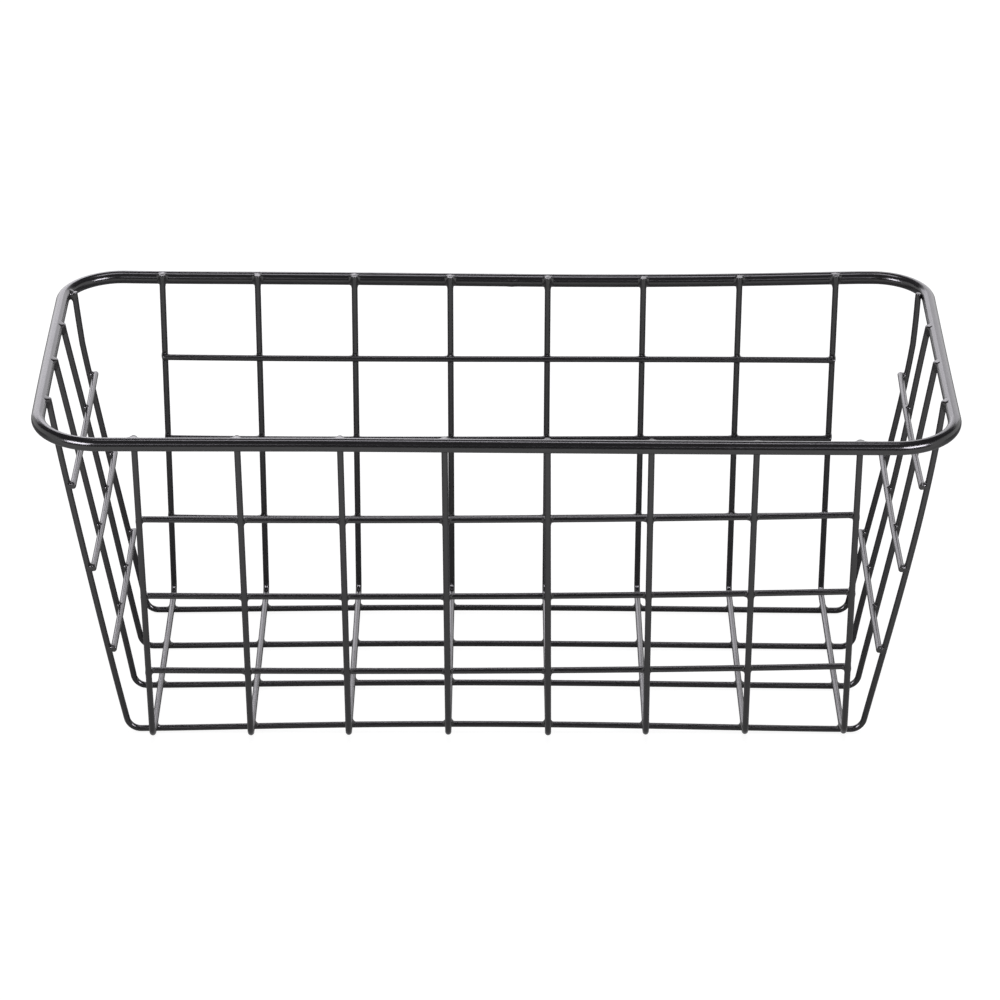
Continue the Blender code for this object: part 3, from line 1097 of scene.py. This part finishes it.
class BASKET_OT_rim_welds(bpy.types.Operator):
    """Weld both ends of every U wire to the inner side of the rim"""

    bl_idname = "basket.rim_welds"
    bl_label = "Rim welds"

    def execute(self, context):
        basket = Basket()
        sizes = context.scene.basket_welds
        rim = basket.rim_path()
        crossings = []
        for path in basket.paths("front_to_back_wire") + basket.paths("side_to_side_wire"):
            half = len(path) // 2
            for leg in (path[:half], path[half:]):
                crossings.append(crossing_of(leg, rim, basket.wire_radius, basket.rim_radius))
        add_welds("rim_welds", crossings, sizes.rim_fillet, sizes.rim_reach, sizes.seed - 1)
        return {"FINISHED"}


# Stage

FLOOR_DROP = 0.05 * MM
FLOOR_RADIUS = 12.0
FLOOR_SIDES = 64
# Where along Y the floor's painted light in reflections starts to fall, its painted shadow under the basket
# is lowest, and the painted light starts to rise and is high again
GLOW_NEAR = -0.3
GLOW_UNDER = 0.1
GLOW_BEHIND = 0.45
GLOW_FAR = 1.1
UNSHADED_GAIN = 2.4
WHITE = (1.0, 1.0, 1.0, 1.0)
BLACK = (0.0, 0.0, 0.0, 1.0)

CARD_ANGLES = (-12.0, 145.0)
CARD_BEND_ANGLE = 72.0
CARD_DISTANCE = 1.15
CARD_LOW_DISTANCE = 0.87
CARD_HALF_WIDTH = 1.6
CARD_POINTS = 32
CARD_AIM_HEIGHT = 0.12

LAMP_COLOUR = (0.95, 0.92, 1.0)
OVERHEAD_PLACE = (0.0, 0.152, 1.19)
OVERHEAD_AIM = (0.0, 0.152, 0.0)
OVERHEAD_SIZE = (0.5, 0.27)
BACK_SOFTBOX_WIDTH = 1.4
BACK_SOFTBOX_DISTANCE = 1.75
BACK_SOFTBOXES = (("top", 0.93, 1.2), ("middle", 0.4, 0.93), ("low", 0.05, 0.4))
CORNER_AIM = (0.16, -0.07, 0.15)
GLEAM_PLACE = (0.63, -0.67, 0.54)
GLEAM_SIZE = (0.52, 0.3)
GLINT_PLACE = (0.21, -0.75, 0.5)
GLINT_SIZE = (0.18, 0.1)
SENSOR_WIDTH = 36.0


def empty_tree(owner):
    """The node tree of a new material or world, cleared."""
    owner.use_nodes = True
    owner.node_tree.nodes.clear()
    return owner.node_tree


def shown_or_plain(tree, plain, shown):
    """The plain shader for light that falls on things, and the shown one where it is seen directly.

    The camera, a reflection and glass see it directly.
    """
    path = add_node(tree, "ShaderNodeLightPath").outputs
    sight = worked_out(tree, "MAXIMUM", path["Is Camera Ray"], path["Is Glossy Ray"])
    seen = worked_out(tree, "MAXIMUM", sight, path["Is Transmission Ray"])
    values = {0: seen, 1: plain.outputs[0], 2: shown.outputs[0]}
    return add_node(tree, "ShaderNodeMixShader", values).outputs[0]


def floor_material(look):
    """Pale floor that shows white with a faint shadow, and throws plain light on the basket.

    Reflections see its glow as painted shade and light: a painted shadow low under the basket, and painted
    light high in front and far behind.
    """
    material = bpy.data.materials.new("Studio floor")
    tree = empty_tree(material)
    place = add_node(tree, "ShaderNodeTexCoord").outputs["Object"]
    y = add_node(tree, "ShaderNodeSeparateXYZ", {"Vector": place}).outputs["Y"]
    # Painted shadow under the basket and painted light in front and behind, in the floor's glow that
    # reflections see
    low, high = look.under_floor_painted_shadow, look.far_floor_painted_light
    fall = brought(tree, y, GLOW_NEAR, GLOW_UNDER, look.near_floor_painted_light, low, "SMOOTHSTEP")
    rise = brought(tree, y, GLOW_BEHIND, GLOW_FAR, 0.0, high - low, "SMOOTHSTEP")
    camera_ray = add_node(tree, "ShaderNodeLightPath").outputs["Is Camera Ray"]
    strength = mixed(
        tree, camera_ray, worked_out(tree, "ADD", fall, rise), 1.0 - look.shadow_strength, kind="FLOAT")
    share = UNSHADED_GAIN * look.shadow_strength
    plain = add_node(tree, "ShaderNodeBsdfDiffuse", {"Color": look.floor_colour})
    glow = add_node(tree, "ShaderNodeEmission", {"Strength": strength})
    shaded = add_node(tree, "ShaderNodeBsdfDiffuse", {"Color": (share, share, share, 1.0)})
    shown = add_node(tree, "ShaderNodeAddShader", {0: glow.outputs[0], 1: shaded.outputs[0]})
    add_node(tree, "ShaderNodeOutputMaterial", {"Surface": shown_or_plain(tree, plain, shown)})
    return material


def add_floor(look):
    """Round floor just under the basket: a fan of points radius (cos angle, sin angle) round its middle."""
    angle = np.linspace(0.0, 2.0 * math.pi, FLOOR_SIDES, endpoint=False)
    rim = np.stack((np.cos(angle), np.sin(angle), np.zeros(FLOOR_SIDES)), axis=-1) * FLOOR_RADIUS
    points = np.concatenate((rim, np.zeros((1, 3)))) - Z_AXIS * FLOOR_DROP
    faces = pole_faces(0, FLOOR_SIDES, FLOOR_SIDES, outward=False).tolist()
    add_mesh("studio_floor", points, faces, floor_material(look))


def add_card():
    """Black card that only reflections see: an arc over the basket, from low in front to high behind.

    A point is (across, -distance cos(angle), height + distance sin(angle)).
    """
    degrees = np.linspace(*CARD_ANGLES, CARD_POINTS)[:, None]
    distance = np.interp(degrees, (CARD_ANGLES[0], CARD_BEND_ANGLE), (CARD_LOW_DISTANCE, CARD_DISTANCE))
    angle = np.radians(degrees)
    across = np.array((-CARD_HALF_WIDTH, CARD_HALF_WIDTH))[None, :]
    grid = np.stack(np.broadcast_arrays(
        across, -distance * np.cos(angle), CARD_AIM_HEIGHT + distance * np.sin(angle)), axis=-1)
    faces = np.arange(CARD_POINTS - 1)[:, None] * 2 + np.array((0, 1, 3, 2))
    black = bpy.data.materials.new("Black card")
    black.use_nodes = True
    tree = black.node_tree
    feed(tree, tree.nodes["Principled BSDF"], {"Base Color": BLACK, "Specular IOR Level": 0.0})
    card = add_mesh("overhead_card", grid.reshape(-1, 3), faces.tolist(), black)
    card.visible_camera = False
    card.visible_diffuse = False
    card.visible_shadow = False
    card.visible_transmission = False


def add_softbox(name, place, aim, size, radiance):
    """Rectangular lamp that faces a point, whose power is radiance times pi times its area."""
    lamp = bpy.data.lights.new(name, "AREA")
    lamp.shape = "RECTANGLE"
    lamp.size, lamp.size_y = size
    lamp.energy = radiance * math.pi * lamp.size * lamp.size_y
    lamp.color = LAMP_COLOUR
    softbox = bpy.data.objects.new(name, lamp)
    softbox.location = place
    softbox.rotation_euler = (Vector(aim) - Vector(place)).to_track_quat("-Z", "Y").to_euler()
    softbox.visible_camera = False
    bpy.context.scene.collection.objects.link(softbox)
    return softbox


def add_lamps(look):
    """A strip overhead, three softboxes behind on each side and two small ones for each front corner."""
    add_softbox("overhead_strip", OVERHEAD_PLACE, OVERHEAD_AIM, OVERHEAD_SIZE, look.top_light)
    sides = ((-1.0, "left", look.back_left_light), (1.0, "right", look.back_right_light))
    for side, label, radiances in sides:
        for (level, low, high), radiance in zip(BACK_SOFTBOXES, radiances):
            x, z = side * BACK_SOFTBOX_WIDTH / 2.0, (low + high) / 2.0
            size = (BACK_SOFTBOX_WIDTH, high - low)
            add_softbox(
                f"back_{label}_{level}_softbox", (x, BACK_SOFTBOX_DISTANCE, z), (x, 0.0, z), size, radiance)
    corner_lamps = (
        ("gleam", GLEAM_PLACE, GLEAM_SIZE, look.corner_light),
        ("glint", GLINT_PLACE, GLINT_SIZE, look.front_light),
    )
    for side, label, _ in sides:
        mirror = Vector((side, 1.0, 1.0))
        aim = mirror * Vector(CORNER_AIM)
        for kind, place, size, radiance in corner_lamps:
            lamp = add_softbox(f"{label}_{kind}", mirror * Vector(place), aim, size, radiance)
            lamp.visible_diffuse = False


def light_world(look):
    """Even light from all round, which shows as white wherever it is seen directly."""
    world = bpy.data.worlds.new("Studio room")
    tree = empty_tree(world)
    room = add_node(tree, "ShaderNodeBackground", {"Color": WHITE, "Strength": look.room_light})
    shown = add_node(tree, "ShaderNodeBackground", {"Color": WHITE, "Strength": 1.0})
    add_node(tree, "ShaderNodeOutputWorld", {"Surface": shown_or_plain(tree, room, shown)})
    bpy.context.scene.world = world


def add_camera(look):
    """The camera, where the photo's camera stood."""
    camera = bpy.data.cameras.new("photo_camera")
    camera.lens = look.camera_lens
    camera.sensor_width = SENSOR_WIDTH
    eye = bpy.data.objects.new("photo_camera", camera)
    eye.location = look.camera_place
    eye.rotation_euler = look.camera_turn
    bpy.context.scene.collection.objects.link(eye)
    bpy.context.scene.camera = eye


class BASKET_OT_studio(bpy.types.Operator):
    """Set up the pale floor, the soft lamps, the black card and the camera"""

    bl_idname = "basket.studio"
    bl_label = "Studio"

    def execute(self, context):
        look = context.scene.basket_studio
        add_floor(look)
        light_world(look)
        add_lamps(look)
        add_card()
        add_camera(look)
        context.scene.view_settings.view_transform = "Standard"
        return {"FINISHED"}


PIECE_OPERATORS = (
    BASKET_OT_rim,
    BASKET_OT_front_to_back_wires,
    BASKET_OT_side_to_side_wires,
    BASKET_OT_long_rails,
    BASKET_OT_end_rails,
    BASKET_OT_mesh_welds,
    BASKET_OT_rim_welds,
    BASKET_OT_studio,
)

SETTINGS = {
    "basket_rim": RimSizes,
    "basket_wires": WireSizes,
    "basket_bows": Bows,
    "basket_welds": WeldSizes,
    "basket_coat": CoatLook,
    "basket_studio": StudioLook,
}


class BASKET_PT_panel(bpy.types.Panel):
    """Sizes, colours and steps of the basket"""

    bl_idname = "BASKET_PT_panel"
    bl_label = "Wall basket"
    bl_space_type = "VIEW_3D"
    bl_region_type = "UI"
    bl_category = "Wall basket"

    def draw(self, context):
        layout = self.layout
        for name, group in SETTINGS.items():
            box = layout.box()
            box.label(text=group.__doc__.splitlines()[0].rstrip("."))
            settings = getattr(context.scene, name)
            for setting in group.__annotations__:
                box.prop(settings, setting)
        for operator in PIECE_OPERATORS:
            layout.operator(operator.bl_idname)


def register():
    for group in SETTINGS.values():
        bpy.utils.register_class(group)
    for name, group in SETTINGS.items():
        setattr(bpy.types.Scene, name, bpy.props.PointerProperty(type=group))
    for operator in PIECE_OPERATORS:
        bpy.utils.register_class(operator)
    bpy.utils.register_class(BASKET_PT_panel)


def unregister():
    bpy.utils.unregister_class(BASKET_PT_panel)
    for operator in reversed(PIECE_OPERATORS):
        bpy.utils.unregister_class(operator)
    for name in SETTINGS:
        delattr(bpy.types.Scene, name)
    for group in reversed(list(SETTINGS.values())):
        bpy.utils.unregister_class(group)


def main():
    register()
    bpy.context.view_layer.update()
    bpy.ops.basket.rim()
    bpy.ops.basket.front_to_back_wires()
    bpy.ops.basket.side_to_side_wires()
    bpy.ops.basket.long_rails()
    bpy.ops.basket.end_rails()
    bpy.ops.basket.mesh_welds()
    bpy.ops.basket.rim_welds()
    bpy.ops.basket.studio()


if __name__ == "__main__":
    main()
